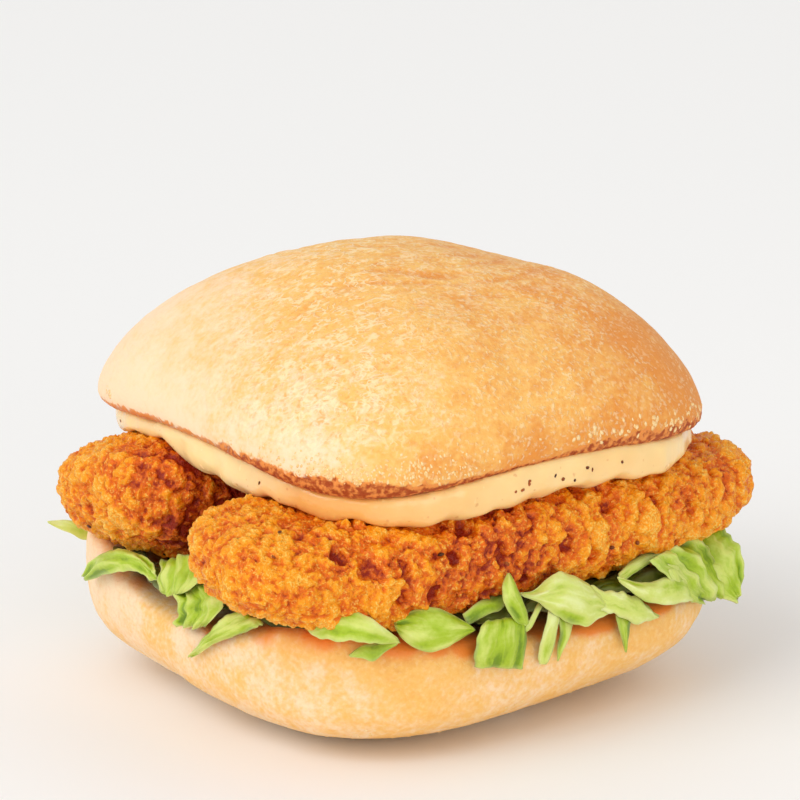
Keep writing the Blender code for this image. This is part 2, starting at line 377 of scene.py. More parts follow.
# The rim stands a little higher at the left and near corners
corner_rise = (0.0026 * spot(points, (-50, 30), (12, 10))
               + 0.0012 * spot(points, (-49, -33), (10, 12)))
points[:, 2] += corner_rise * smooth(points[:, 2], 0.014, 0.024)
across = points @ RIGHT_CORNER / heel_high.x
browning = (0.26 + 0.12 * np.tanh(1.2 * across) + 0.14 * np.exp(-((across - 0.1) / 0.35) ** 2)
            + 0.10 * smooth(facing[:, 2], 0.4, 0.9)
            + 0.20 * smooth(points[:, 2], 0.0180, 0.0235) * smooth(-points[:, 1], 0.010, 0.040)
            + 0.16 * lumps(points, 0.022, 3) + 0.10 * upright_streaks)
bottom_line = (smooth(-points[:, 2], -0.0022, -0.0004)
               * smooth(0.35 + lumps(points, 0.02, 4), 0.0, 0.8))
bottom_line *= 1 - smooth(-facing[:, 2], 0.97, 0.995)
ragged = 0.55 * lumps(points, 0.0030, 5) + 0.35 * lumps(points, 0.0075, 6)
# The orange patches on the rim: partly oil from the sauce, partly painted warm shade
stain = np.zeros(len(points))
for *middle, wide, tall, strength in STAINS:
    stain = np.maximum(stain, strength * spot(points, middle, (wide, wide, tall)))
stain = smooth(stain * (1 + ragged), 0.08, 0.55) * np.minimum(1, 1.6 * stain + 0.35)
note(heel, browning=np.clip(browning, 0, 1), toasting=0.75 * bottom_line, stain=0.90 * stain)
move_points(heel, points)
finish(heel, surface(
    "heel_crust", CRUST, BREAD, relief=0.00022, kept=("Browning", "Toasting", "Stain"),
    settings={"Creases": 0.14, "Grit": 0.35, "Mottling": 0.85},
), "heel")

# ---------------------------------------------------------------------------
# The lettuce: a bed of cut iceberg leaves on the heel. Crisp shreds about half a millimetre
# thick, 3 to 10 mm wide, lie over and through each other and droop over the heel's rim. A
# packed core fills the bed behind them, painted dark as shade.
# ---------------------------------------------------------------------------

LEAF_THICKNESS = 0.00045
LEAF_MESH = 0.0005
# How far the roll reaches to its sides, in millimetres, and how square it is
BED_REACH = 53.3
BED_SQUARENESS = 3.5
# The middle of the near sides, and the direction of the near fillet's end, which lies clear
NEAR_SIDES = math.radians(-127.5)
CLEAR_PLACE, CLEAR_WIDTH = math.radians(-131), 0.30
# The height in millimetres to which the shreds inside the bed are packed, and how flat
PACKED_HEIGHT, PACKED_FLATNESS = 26.4, 0.45
SPREAD_SHREDS = 190


def smooth_line(stations, count):
    """Points evenly along a smooth line through the stations."""
    stations = np.asarray(stations, float)
    padded = np.vstack([2 * stations[0] - stations[1], stations, 2 * stations[-1] - stations[-2]])
    t = np.linspace(0, len(stations) - 1 - 1e-9, count)
    index = t.astype(int)
    t = (t - index)[:, None]
    a, b, c, d = (padded[index + k] for k in range(4))
    return 0.5 * (2 * b + (c - a) * t + (2 * a - 5 * b + 4 * c - d) * t ** 2
                  + (3 * b - a - 3 * c + d) * t ** 3)


def leaf_shell(rungs, bulge, ripple, ragged, seed, paleness, shade=0.0):
    """A shred as a thin closed shell. Each rung is its two edges' places at one station, in
    millimetres. It bulges outward, ripples, and its cut edges are ragged."""
    edges = np.asarray(rungs, float) / 1000
    length = np.linalg.norm(np.diff(edges.mean(axis=1), axis=0), axis=1).sum()
    width = np.linalg.norm(edges[:, 0] - edges[:, 1], axis=1).max()
    along_count = int(np.clip(length / LEAF_MESH, 10, 44))
    across_count = int(np.clip(width / LEAF_MESH, 5, 20))
    left = smooth_line(edges[:, 0], along_count)
    right = smooth_line(edges[:, 1], along_count)
    u = np.linspace(0, 1, along_count)[:, None, None]
    v = np.linspace(0, 1, across_count)[None, :, None]
    jag = np.stack([np.arange(along_count) * length / along_count, np.zeros(along_count),
                    np.full(along_count, 0.01 * seed)], axis=1)
    span = right - left
    left = left - span * (1.6 * ragged * lumps(jag, 0.0022, seed))[:, None]
    right = right + span * (1.6 * ragged * lumps(jag, 0.0022, seed + 40))[:, None]
    sheet = left[:, None] * (1 - v) + right[:, None] * v
    normal = np.cross(np.gradient(sheet, axis=0), np.gradient(sheet, axis=1))
    normal = normal.mean(axis=1, keepdims=True)
    for _ in range(3):
        normal[1:-1] = (normal[:-2] + 2 * normal[1:-1] + normal[2:]) / 4
    normal /= np.linalg.norm(normal, axis=2, keepdims=True) + 1e-12
    out = sheet.mean(axis=(0, 1)) * (1, 1, 0)
    if (normal.mean(axis=(0, 1)) * out).sum() < 0:
        normal = -normal
    place = np.broadcast_arrays(u * length, (v - 0.5) * width, np.full((1, 1, 1), 0.02 * seed))
    place = np.concatenate(place, axis=2)
    place = place.reshape(-1, 3)
    rows, columns = sheet.shape[:2]
    waves = lumps(place * (0.6, 1.0, 1.0), 0.0032, seed + 80).reshape(rows, columns)
    creases = lumps(place * (0.22, 1.0, 1.0), 0.0026, seed + 90).reshape(rows, columns)
    creases = 0.45 - 1.7 * np.abs(creases)
    lift = bulge * (4 * v * (1 - v))[..., 0] * np.sin(np.pi * u[..., 0]) ** 0.7
    lift = lift / 1000 + ripple / 1000 * waves + ripple / 1700 * creases
    sheet = sheet + normal * lift[..., None]
    edge_u = np.minimum(u, 1 - u)[..., 0] * length
    edge_v = np.minimum(v, 1 - v)[..., 0] * width
    to_edge = np.minimum(edge_u, edge_v)
    half = LEAF_THICKNESS / 2 * (0.45 + 0.55 * smooth(to_edge, 0.0, 0.0010))
    front = sheet + normal * half[..., None]
    back = sheet - normal * half[..., None]
    points = np.vstack([front.reshape(-1, 3), back.reshape(-1, 3)])
    grid = np.arange(rows * columns).reshape(rows, columns)
    quads = np.stack([grid[:-1, :-1], grid[:-1, 1:], grid[1:, 1:], grid[1:, :-1]], axis=-1)
    quads = quads.reshape(-1, 4)
    rim = np.concatenate([grid[0, :-1], grid[:-1, -1], grid[-1, :0:-1], grid[:0:-1, 0]])
    turned = np.roll(rim, -1)
    under = rows * columns
    walls = np.stack([turned, rim, rim + under, turned + under], axis=-1)
    faces = np.vstack([quads, quads[:, ::-1] + under, walls])
    if (np.cross(sheet[1, 0] - sheet[0, 0], sheet[0, 1] - sheet[0, 0]) * normal[0, 0]).sum() > 0:
        faces = faces[:, ::-1]
    rim_share = 1 - smooth(to_edge, 0.0, 0.0009)
    return {
        "points": points, "faces": faces,
        "place": np.vstack([place, place]),
        "rim": np.tile(rim_share.ravel(), 2),
        # fold: how far the sheet is raised here; the colour is painted paler as light on raised folds and
        # deeper as shade in hollows
        "fold": np.tile((0.6 * waves + 0.7 * creases).ravel(), 2),
        "paleness": np.full(len(points), paleness),
        "shade": np.full(len(points), shade),
    }


def joined(name, shells, keep):
    """One piece from many small closed shells. Keep names the numbers kept for each point."""
    points = np.vstack([shell["points"] for shell in shells])
    starts = np.cumsum([0] + [len(shell["points"]) for shell in shells[:-1]])
    faces = [shell["faces"] + start for shell, start in zip(shells, starts)]
    mesh = bpy.data.meshes.new(name)
    corners = sum(f.size for f in faces)
    count = sum(len(f) for f in faces)
    mesh.vertices.add(len(points))
    mesh.vertices.foreach_set("co", points.ravel())
    mesh.loops.add(corners)
    mesh.loops.foreach_set("vertex_index", np.concatenate([f.ravel() for f in faces]))
    mesh.polygons.add(count)
    sides = np.concatenate([np.full(len(f), f.shape[1]) for f in faces])
    mesh.polygons.foreach_set("loop_start", np.cumsum(np.append(0, sides[:-1])))
    mesh.update(calc_edges=True)
    mesh.shade_smooth()
    piece = new_piece(name, mesh)
    note(piece, **{key: np.concatenate([shell[key] for shell in shells]) for key in keep})
    return piece


def make_leaf_group():
    """Cut iceberg: bright yellow green, paler at its cut edges and along its soft veins. It is
    painted paler on its raised folds and deeper green in their hollows as light and shade, and
    painted dark as shade where it lies deep in the bed."""
    given, place = new_group("lettuce_leaf", {
        "Paleness": 0.5, "Rim": 0.0, "Fold": 0.0, "Shade": 0.0,
        "Deep": colour(112, 144, 10), "Fresh": colour(166, 192, 42),
        "Light": colour(206, 218, 112), "Vein": colour(230, 238, 168),
        "Dark": colour(30, 26, 6),
    }, "place")
    broad = grain(place, 0.0050, 3.0, 0.3)
    blister = grain(shifted(place, 0.3, 0.1, 0.2), 0.0016)
    fine = grain(shifted(place, 0.6, 0.2, 0.9), 0.0006, 2.0)
    drawn = streaked(place, 0.0, 0.35)
    strands = grain(drawn, 0.0012, 2.0, 0.5)
    vein = 1 - step(abs(grain(drawn, 0.0036, 2.0, 0.5) - 0.5), 0.0, 0.09)
    # Fold paints light on raised folds and shade in their hollows
    tone = (given["Paleness"] + 0.95 * broad + 0.45 * strands + 0.30 * fine - 0.85
            + 0.70 * given["Fold"] + 0.14 * vein)
    leafy = blend(step(tone, 0.05, 0.50), given["Deep"], given["Fresh"])
    leafy = blend(step(tone, 0.42, 1.0), leafy, given["Light"])
    leafy = blend(0.8 * step(tone, 0.95, 1.5), leafy, given["Vein"])
    leafy = blend(0.35 * given["Rim"], leafy, given["Vein"])
    # Shade paints the leaf dark as shade where it lies deep in the bed
    return closed_group(Color=blend(given["Shade"], leafy, given["Dark"]),
                        Roughness=0.25 * blister + 0.26,
                        Height=0.8 * blister + 0.35 * vein + 0.40 * strands + 0.12 * fine)


LEAF = {
    "Subsurface Weight": 0.18, "Subsurface Radius": (0.0008, 0.0012, 0.0003),
    "Subsurface Scale": 1.0, "Specular IOR Level": 0.28, "Coat Weight": 0.05,
    "Coat Roughness": 0.25,
}

# Shreds on the near sides. Each has its bulge and ripple in millimetres, its raggedness as a
# share of the width and its paleness, then x, y and z of its two edges at each station along
# it, in tenths of a millimetre
PLACED_SHREDS = (
    # the tip beyond the left corner
    ((0.5, 0.3, 0.04, 1.05),
     (-409, 454, 262, -414, 438, 234, -438, 451, 274, -440, 442, 239, -465, 461, 280, -463, 450, 253,
      -484, 476, 280, -482, 468, 263, -498, 486, 278, -497, 484, 274)),
    # the arched one on the left side
    ((1.2, 0.7, 0.05, 0.62),
     (-540, 291, 220, -545, 279, 214, -539, 243, 269, -560, 190, 251, -537, 180, 300, -561, 119, 275,
      -536, 109, 311, -558, 70, 287, -535, 59, 308, -551, 35, 277, -545, 20, 297, -547, 21, 280)),
    # the tightly curled one beside it
    ((0.6, 1.3, 0.04, 0.55),
     (-517, 51, 310, -511, -100, 353, -535, 21, 301, -526, -117, 337, -549, 11, 282, -538, -121, 317,
      -553, -5, 267, -546, -106, 295, -549, -22, 259, -549, -63, 273)),
    # the folded one that hangs below it
    ((0.8, 1.2, 0.04, 0.60),
     (-534, -34, 271, -530, -125, 313, -551, -55, 260, -537, -185, 296, -559, -60, 239, -548, -197, 284,
      -559, -56, 220, -556, -184, 259, -555, -56, 208, -553, -145, 228)),
    # the pointed one before the near corner
    ((0.7, 0.6, 0.05, 0.70),
     (-525, -218, 275, -519, -289, 272, -539, -220, 274, -532, -286, 263, -549, -194, 254, -545, -247, 240,
      -549, -151, 218, -550, -178, 207, -546, -113, 181, -548, -135, 178, -545, -84, 155, -544, -90, 153)),
    # the long diamond past the near corner
    ((0.9, 0.6, 0.05, 0.68),
     (-516, -417, 295, -515, -419, 289, -501, -448, 322, -509, -448, 280, -485, -470, 338, -493, -485, 282,
      -457, -492, 331, -464, -513, 279, -424, -507, 308, -426, -522, 271, -376, -510, 265, -375, -511, 259)),
    # the bright point that shows under it
    ((0.3, 0.2, 0.05, 0.30),
     (-442, -449, 234, -439, -451, 230, -424, -465, 253, -427, -468, 230, -406, -477, 257, -410, -483, 225,
      -387, -489, 258, -390, -492, 241, -366, -500, 259, -369, -498, 251)),
    # the round leaf
    ((1.6, 0.5, 0.03, 0.48),
     (-373, -494, 295, -373, -496, 284, -355, -500, 308, -365, -510, 263, -330, -509, 315, -343, -521, 246,
      -304, -517, 316, -319, -531, 234, -274, -526, 302, -282, -540, 243, -246, -533, 283, -250, -541, 252,
      -223, -538, 265, -220, -538, 260)),
    # a dark one behind
    ((0.5, 0.4, 0.05, 0.35),
     (-231, -513, 287, -225, -524, 267, -193, -512, 302, -187, -523, 277, -158, -509, 306, -147, -520, 280,
      -122, -506, 310, -116, -511, 291)),
    # the upright spear
    ((0.8, 0.3, 0.04, 0.60),
     (-136, -526, 350, -131, -526, 349, -161, -543, 331, -129, -544, 330, -160, -551, 302, -119, -550, 301,
      -142, -551, 271, -107, -550, 270, -117, -548, 248, -101, -548, 249)),
    # the square leaf that hangs over the heel
    ((0.9, 0.6, 0.03, 0.28),
     (-198, -536, 271, -108, -536, 265, -220, -547, 263, -103, -548, 251, -227, -552, 242, -109, -555, 227,
      -229, -550, 215, -114, -556, 193, -227, -544, 192, -115, -552, 167)),
    # a thin stalk
    ((0.3, 0.1, 0.05, 0.75),
     (-64, -533, 284, -52, -533, 278, -90, -547, 271, -78, -547, 265, -107, -550, 252, -95, -551, 246,
      -115, -548, 238, -108, -548, 235)),
    # the broad leaf in the middle
    ((1.4, 0.6, 0.04, 0.95),
     (-113, -536, 310, -110, -536, 304, -82, -543, 312, -83, -547, 290, -48, -539, 329, -57, -559, 268,
      -13, -537, 334, -23, -565, 245, 30, -539, 313, 19, -565, 227, 66, -543, 281, 61, -559, 233,
      96, -547, 247, 97, -549, 233)),
    # a pale strip that hangs from it
    ((0.5, 0.2, 0.04, 0.95),
     (-50, -545, 275, -21, -545, 265, -65, -555, 249, -36, -555, 240, -77, -555, 213, -45, -555, 202,
      -79, -550, 185, -50, -550, 175, -74, -547, 167, -57, -547, 162)),
    # a greener strip beside it
    ((0.3, 0.2, 0.05, 0.55),
     (-26, -543, 250, 13, -543, 238, -26, -549, 220, -1, -549, 212, -29, -547, 191, -16, -547, 187,
      -29, -545, 163, -27, -545, 163)),
    # the leaf whose ragged end points along the rim
    ((1.0, 0.5, 0.10, 0.95),
     (56, -537, 291, 63, -553, 243, 91, -543, 278, 91, -558, 237, 129, -545, 267, 114, -560, 225,
      165, -544, 253, 147, -557, 204, 197, -542, 226, 181, -551, 199, 231, -539, 198, 229, -539, 195)),
    # a spike that hangs from it
    ((0.3, 0.2, 0.05, 0.35),
     (115, -542, 236, 156, -541, 222, 116, -549, 208, 148, -548, 195, 129, -547, 173, 145, -546, 168,
      140, -543, 146, 143, -544, 145)),
    # the curled leaf: its outer sheet, then its upper band
    ((1.0, 0.4, 0.03, 0.92),
     (120, -540, 298, 125, -544, 286, 155, -543, 284, 152, -553, 261, 197, -542, 273, 187, -560, 240,
      243, -535, 271, 230, -560, 226, 292, -527, 260, 276, -551, 219, 334, -515, 228, 327, -526, 208)),
    ((0.5, 0.3, 0.03, 0.80),
     (140, -520, 295, 132, -538, 283, 186, -508, 311, 190, -518, 289, 235, -497, 315, 249, -505, 297,
      273, -500, 307, 256, -531, 283, 298, -516, 282, 268, -542, 252, 326, -517, 247, 298, -538, 217)),
    # the ribbed leaf under the fillet's right end
    ((0.8, 1.1, 0.05, 0.55),
     (197, -546, 318, 382, -453, 308, 231, -542, 287, 411, -456, 287, 274, -536, 245, 435, -466, 254,
      314, -527, 211, 448, -476, 213, 378, -491, 182, 449, -482, 178)),
    # the broad ribbed leaf past the right corner
    ((0.8, 1.1, 0.07, 0.60),
     (377, -384, 268, 450, -402, 304, 380, -417, 253, 472, -430, 312, 388, -444, 229, 484, -457, 298,
      403, -463, 206, 495, -475, 266, 431, -478, 186, 498, -485, 223, 471, -491, 163, 488, -489, 188)),
)


def bed_edge(around):
    """How far the roll reaches in that direction, in millimetres."""
    return BED_REACH * (abs(math.cos(around)) ** BED_SQUARENESS
                        + abs(math.sin(around)) ** BED_SQUARENESS) ** (-1 / BED_SQUARENESS)


UP = np.array([0.0, 0.0, 1.0])


def outward(around):
    """The level direction from the middle at that angle."""
    return np.array([math.cos(around), math.sin(around), 0.0])


def drooping_shred(rng, around):
    """A shred that runs outward over the bed and droops over the rim."""
    edge = bed_edge(around)
    turn = rng.uniform(-0.9, 0.9)
    wide = rng.uniform(1.8, 4.2)
    top = rng.uniform(27.0, 32.5)
    hang = rng.uniform(0.0, 6.5) * rng.uniform(0.3, 1.0)
    start = edge - rng.uniform(5.0, 9.0)
    reach = edge + rng.uniform(-0.2, 1.6)
    out = outward(around)
    along = np.cross(UP, out)
    route = ((start, top, -0.6), (edge - 1.8, top - 0.6, 0.0), (reach, top - 2.6, 0.5),
             (reach + 0.6, top - 4.2 - hang / 2, 0.9), (reach + 0.2, top - 5.0 - hang, 1.2))
    rungs = []
    for number, (away, height, drift) in enumerate(route):
        middle = out * away + along * (drift * turn * 4) + UP * height
        tilt = rng.uniform(-0.5, 0.5)
        breadth = wide * (0.8, 1.0, 1.0, 0.75, rng.uniform(0.1, 0.6))[number]
        across = along * math.cos(tilt) + UP * math.sin(tilt)
        rungs.append((middle - across * breadth, middle + across * breadth))
    return rungs


def lying_shred(rng, around):
    """A shred that lies along the rim and leans outward."""
    span = rng.uniform(0.07, 0.17)
    low = rng.uniform(20.5, 25.5)
    tall = rng.uniform(2.5, 6.5)
    lean = rng.uniform(-1.0, 2.2)
    rungs = []
    for share in (-1.0, -0.6, 0.0, 0.6, 1.0):
        here = around + share * span
        out = outward(here)
        edge = bed_edge(here) + 0.7 + rng.uniform(-0.3, 0.7)
        full = 1 - abs(share) ** 2.2
        rise = rng.uniform(-0.8, 0.8)
        level = low + 2 * abs(share) + rise
        rungs.append((out * (edge - 2.2) + UP * (level + 0.4 + tall * full),
                      out * (edge + lean * full) + UP * level))
    return rungs


def spread_shreds():
    """The shreds that aren't placed one by one. They droop over the rim at the far sides. On
    the near sides they lie deep in the bed, painted dark as shade, and none is under the
    fillet's end."""
    rng = np.random.default_rng(17)
    shells = []
    for number in range(SPREAD_SHREDS):
        around = rng.uniform(0, 2 * math.pi)
        kind = rng.uniform()
        tuck = rng.uniform(2.5, 6.0)
        paleness = rng.uniform(0.2, 0.9)
        near = math.cos(around - NEAR_SIDES)
        near_side = near > (0.05 if math.cos(around) > 0 else -0.30)
        droops = kind < 0.6 and not near_side
        rungs = np.array((drooping_shred if droops else lying_shred)(rng, around))
        bulge, ripple = rng.uniform(0.2, 1.4), rng.uniform(0.3, 0.9)
        if abs((around - CLEAR_PLACE + math.pi) % (2 * math.pi) - math.pi) < CLEAR_WIDTH:
            continue
        shade = 0.0
        if near_side:
            rungs[..., :2] *= 1 - tuck / 54
            middle = rungs[..., 2].mean()
            rungs[..., 2] = PACKED_HEIGHT + (rungs[..., 2] - middle) * PACKED_FLATNESS
            # Painted shade: shreds tucked deep on the near sides are darkened
            shade = min(0.45 + 0.09 * tuck, 0.95)
        shells.append(leaf_shell(rungs, bulge, ripple, 0.05, 200 + number, paleness, shade))
    return shells


def deep_shade(shell):
    """Painted shade: darker where a placed shred runs in under the fillets."""
    points = shell["points"] * 1000
    edge = np.array([bed_edge(math.atan2(y, x)) for x, y in points[:, :2]])
    inside = edge - np.hypot(points[:, 0], points[:, 1])
    return 0.8 * smooth(inside, 0.6, 3.0) * smooth(points[:, 2], 26.5, 29.5)


shells = []
for number, (manner, edges) in enumerate(PLACED_SHREDS):
    bulge, ripple, raggedness, paleness = manner
    rungs = np.reshape(edges, (-1, 2, 3)) / 10
    shell = leaf_shell(rungs, bulge, ripple, raggedness, number, paleness)
    shell["shade"] = deep_shade(shell)
    shells.append(shell)
shells += spread_shreds()
shreds = joined("lettuce_shreds", shells, ("place", "rim", "fold", "paleness", "shade"))
leaf_group = make_leaf_group()
leaf_kept = ("Paleness", "Rim", "Fold", "Shade")
finish(shreds, surface("lettuce_shreds", leaf_group, LEAF, relief=0.00016, kept=leaf_kept))

core, points, facing = dense_copy("lettuce", "lettuce_core", square=0.0010, rounds=6)
folded = np.abs(lumps(points * (1, 1, 1.8), 0.0060, 11)) + 0.5 * np.abs(lumps(points, 0.0026, 12))
around = np.degrees(np.arctan2(points[:, 1], points[:, 0])) % 360
shrink = (0.075 + 0.12 * np.exp(-((around - 229) / 22) ** 2)
          + 0.13 * np.exp(-((around - 157) / 26) ** 2))
underside = np.where(facing[:, 2] < 0, points[:, 2], 0.0)
points = points * np.stack([1 - shrink, 1 - shrink, 0 * shrink + 1], axis=1)
points += facing * (0.0016 * (folded - 0.55))[:, None]
points[:, 2] = np.maximum(points[:, 2], underside)
# Painted light and shade: the core is darkened towards near black, most on the near sides, and painted paler
# and less dark on its raised folds
near_share = smooth(np.cos(np.radians(around) - NEAR_SIDES), -0.1, 0.5)
note(core, place=points * (1.0, 1.0, 2.0), rim=np.zeros(len(points)), fold=folded - 0.55,
     shade=np.clip(0.72 + 0.43 * near_share - 0.42 * folded, 0, 1),
     paleness=np.clip(0.7 * folded - 0.15, 0, 1))
move_points(core, points)
# The core's greens are darker than the shreds', as painted shade of the deep bed
finish(core, surface(
    "lettuce_core", leaf_group, {**LEAF, "Specular IOR Level": 0.06, "Coat Weight": 0.0},
    relief=0.00018, kept=leaf_kept,
    settings={"Deep": colour(60, 82, 14), "Fresh": colour(104, 134, 32),
              "Light": colour(140, 166, 58), "Vein": colour(150, 172, 76),
              "Dark": colour(22, 15, 6)},
), "lettuce")

# ---------------------------------------------------------------------------
# The fillets: two chicken breast pieces in a spiced, craggy crumb coating, deep fried. The
# coating is bright orange and fine at the -X ends, rougher with red-brown pits further along.
# ---------------------------------------------------------------------------


def nearest_crumbs(points, size, seed):
    """For each point, how far it is from the nearest of the scattered crumb middles, as a
    share of the size, and that crumb's own number from 0 to 1."""
    p = points / size + CELL_OFFSET
    base = np.floor(p).astype(np.int64)
    nearest = np.full(len(points), 9.0)
    own = np.zeros(len(points))
    for offset in product((-1, 0, 1), repeat=3):
        cell = base + offset
        number = scrambled(cell, seed)
        parts = [(number >> np.uint64(k)) & np.uint64(1023) for k in (0, 10, 20)]
        middle = cell + 0.06 + 0.88 * np.stack(parts, axis=1) / 1023
        away = np.linalg.norm(p - middle, axis=1)
        closer = away < nearest
        own = np.where(closer, (number & np.uint64(255)) / 255, own)
        nearest = np.where(closer, away, nearest)
    return nearest, own


def billows(points, size, seed):
    """Rounded lumps that meet in sharp creases, from 0 in the creases to about 1."""
    return np.minimum(1.35 * np.abs(lumps(points, size, seed)), 1.0) ** 0.8


def make_breading_group():
    """Fried crumb: red brown low in its hollows, partly its own colour and partly painted shade,
    orange on its slopes and golden up high, with pale specks on the highest crumbs that are
    partly paler crumb and partly painted glints of oil, and fine pale flecks."""
    given, place = new_group("fried_breading", {
        "Height": 0.5, "Pit": 0.0, "Crumb": 0.5, "Hollow": colour(150, 36, 6),
        "Orange": colour(228, 104, 4), "Golden": colour(250, 156, 12),
        "Tip": colour(255, 206, 96), "Fleck": colour(255, 206, 100),
    })
    patchy = grain(place, 0.0034, 3.0, 0.6)
    crumbs = grain(shifted(place, 0.4, 0.2, 0.7), 0.00085, 3.0, 0.4)
    fine = grain(shifted(place, 0.1, 0.8, 0.5), 0.00036, 2.0)
    wander = put(place.tree, "ShaderNodeTexNoise",
                 {"Vector": place, "Scale": 600.0, "Detail": 1.0}, "Color")
    bent = put(place.tree, "ShaderNodeVectorMath", {0: wander, 1: (0.0012,) * 3, 2: place},
               operation="MULTIPLY_ADD")
    bead = 0.45 - put(place.tree, "ShaderNodeTexVoronoi",
                      {"Vector": bent, "Scale": 1 / 0.00125}, "Distance")
    level = (given["Height"] + 0.60 * patchy + 0.72 * crumbs + 0.25 * (bead + given["Crumb"])
             - 0.40 * given["Pit"] - 0.785)
    # Red brown low down: partly the crumb's own colour, partly painted shade in the hollows
    coat = blend(step(level, 0.02, 0.40), given["Hollow"], given["Orange"])
    coat = blend(step(level, 0.36, 0.74), coat, given["Golden"])
    # Pale specks on the highest crumbs: partly paler crumb, partly painted glints of oil
    tips = step(level, 0.66, 1.0) * step(fine, 0.40, 0.62)
    coat = blend(0.85 * tips, coat, given["Tip"])
    flecks = step(crumbs, 0.49, 0.57) * step(fine, 0.51, 0.59) * step(level, 0.15, 0.50)
    return closed_group(Color=blend(0.60 * flecks, coat, given["Fleck"]),
                        Roughness=0.35 * crumbs + 0.20,
                        Height=0.60 * fine + crumbs + 0.38 * bead)


breading = surface(
    "fried_breading", make_breading_group(),
    {"Subsurface Weight": 0.05, "Subsurface Radius": (0.0012, 0.0005, 0.0002),
     "Subsurface Scale": 1.0, "Specular IOR Level": 0.22, "Coat Weight": 0.10,
     "Coat Roughness": 0.15},
    relief=0.00046, kept=("Height", "Pit", "Crumb"),
)

# Where the coating has come away on the front fillet's near side: along x and z in
# millimetres, then the width and height of the hollow
HOLLOWS = (
    (-42.1, 40.4, 2.6, 2.1), (-35.7, 39.2, 1.3, 2.6), (-47.2, 43.2, 1.8, 1.2),
    (1.3, 38.0, 1.6, 2.4), (24.8, 41.7, 1.5, 1.8), (13.5, 42.7, 2.0, 1.4),
    (-20.3, 43.9, 2.2, 1.2), (-52.0, 46.9, 1.6, 1.0), (-29.5, 34.2, 2.0, 1.3),
    (-8.3, 32.1, 1.8, 1.2), (-14.0, 38.6, 1.2, 2.2), (7.5, 34.2, 1.3, 1.8),
    (34.0, 38.4, 1.4, 1.6), (-24.5, 39.6, 1.2, 2.0), (42.5, 43.6, 1.5, 1.3),
)


def breaded(node, name, seed, inward, moist_along, hollows=()):
    """A fillet with its crumb coating raised from the surface. Inward is the way along y that
    the other fillet lies, where the coating is painted darker as shade past its -X end."""
    piece, points, facing = dense_copy(node, name, square=0.00043, rounds=12)
    low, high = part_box(node)
    along = (points[:, 0] - low.x) / (high.x - low.x)
    craggy = 0.60 + 0.40 * smooth(along, 0.12, 0.34)
    bend = np.stack([lumps(points, 0.0032, seed + k) for k in range(3)], axis=1)
    ruffle = np.stack([lumps(points, 0.0012, seed + 10 + k) for k in range(3)], axis=1)
    here = points + 0.0010 * bend + 0.00045 * ruffle
    big = billows(here * (1.0, 1.0, 0.72), 0.0042, seed + 3)
    middle = billows(here, 0.0023, seed + 4)
    small = billows(points + 0.0004 * bend + 0.0004 * ruffle, 0.0013, seed + 5)
    far, own = nearest_crumbs(here, 0.0030, seed + 6)
    plates = (own - 0.5) * (1 - smooth(far, 0.30, 0.70))
    swell = lumps(points, 0.0095, seed + 7)
    far, own = nearest_crumbs((points + 0.0008 * bend) * (1.0, 1.0, 0.62), 0.0085, seed + 8)
    reach = np.where(own > 0.35 + 0.45 * (1 - craggy), 0.10 + 0.10 * own, 0.001)
    pits = 1 - smooth(far / reach, 0.5, 1.1)
    near_side = smooth(-facing[:, 1], 0.1, 0.5)
    for x, z, wide, tall in hollows:
        off = ((points[:, [0, 2]] + 0.0007 * bend[:, [0, 2]]) * 1000 - (x, z)) / (wide, tall)
        pits = np.maximum(pits, near_side * (1 - smooth(np.linalg.norm(off, axis=1), 0.6, 1.15)))
    whole = 1 - 0.85 * pits
    relief = (0.00140 * craggy * big * whole + 0.00085 * middle * whole + 0.00045 * small
              + 0.00060 * craggy * plates * whole + 0.00045 * swell
              - 0.00110 * pits - 0.00115)
    # The colour height follows the lumps, so hollows and pits are painted darker, partly as shade
    level = (0.01 + 0.47 * big + 0.28 * middle + 0.16 * small + 0.28 * plates
             + 0.23 * (1 - smooth(along, 0.10, 0.34)) + 0.20 * smooth(along, 0.40, 0.66))
    # Painted shade: the coating is darkened on the side where the two fillets face each other
    inner = inward * (points[:, 1] - (low.y + high.y) / 2) / (high.y - low.y)
    moist = smooth(inner, 0.05, 0.40) * smooth(along, *moist_along)
    note(piece, height=np.clip(level - 0.43 * moist, 0, 1.2), pit=pits, crumb=own)
    move_points(piece, points + facing * relief[:, None])
    finish(piece, breading, node)
    return piece


front = breaded("fillet_front", "fillet_front_breaded", 31, 1, (0.12, 0.28), HOLLOWS)
rear = breaded("fillet_rear", "fillet_rear_breaded", 61, -1, (0.0, 0.08))

# ---------------------------------------------------------------------------
# The sauce: a thick peppered mayonnaise, spread under the crown. It's smooth and glossy, and
# its lip runs over the fillets' shoulders in a wavy line.
# ---------------------------------------------------------------------------


def make_sauce_group():
    """Mayonnaise with a little spice in it: cream to peach, smooth."""
    given, place = new_group("mayonnaise", {
        "Thinness": 0.0, "Cream": colour(254, 224, 160), "Peach": colour(241, 180, 98),
        "Spice": colour(206, 110, 40),
    })
    broad = grain(place, 0.012, 2.0)
    fine = grain(shifted(place, 0.2, 0.6, 0.1), 0.0026, 2.0)
    dots = step(grain(shifted(place, 0.7, 0.3, 0.5), 0.0016, 1.0), 0.70, 0.76)
    # How far the cream turns to peach, from the kept number and broad noise
    thin = given["Thinness"] + 0.5 * broad - 0.25
    body = blend(step(thin, 0.0, 0.9), given["Cream"], given["Peach"])
    return closed_group(Color=blend(0.35 * dots, body, given["Spice"]),
                        Roughness=0.16 * fine + 0.16, Height=0.8 * fine + 1.2 * broad)


# How far up the sauce may swell to meet the crown, and how far into it
MOST_RISE = 0.0032
OVERLAP = 0.0003

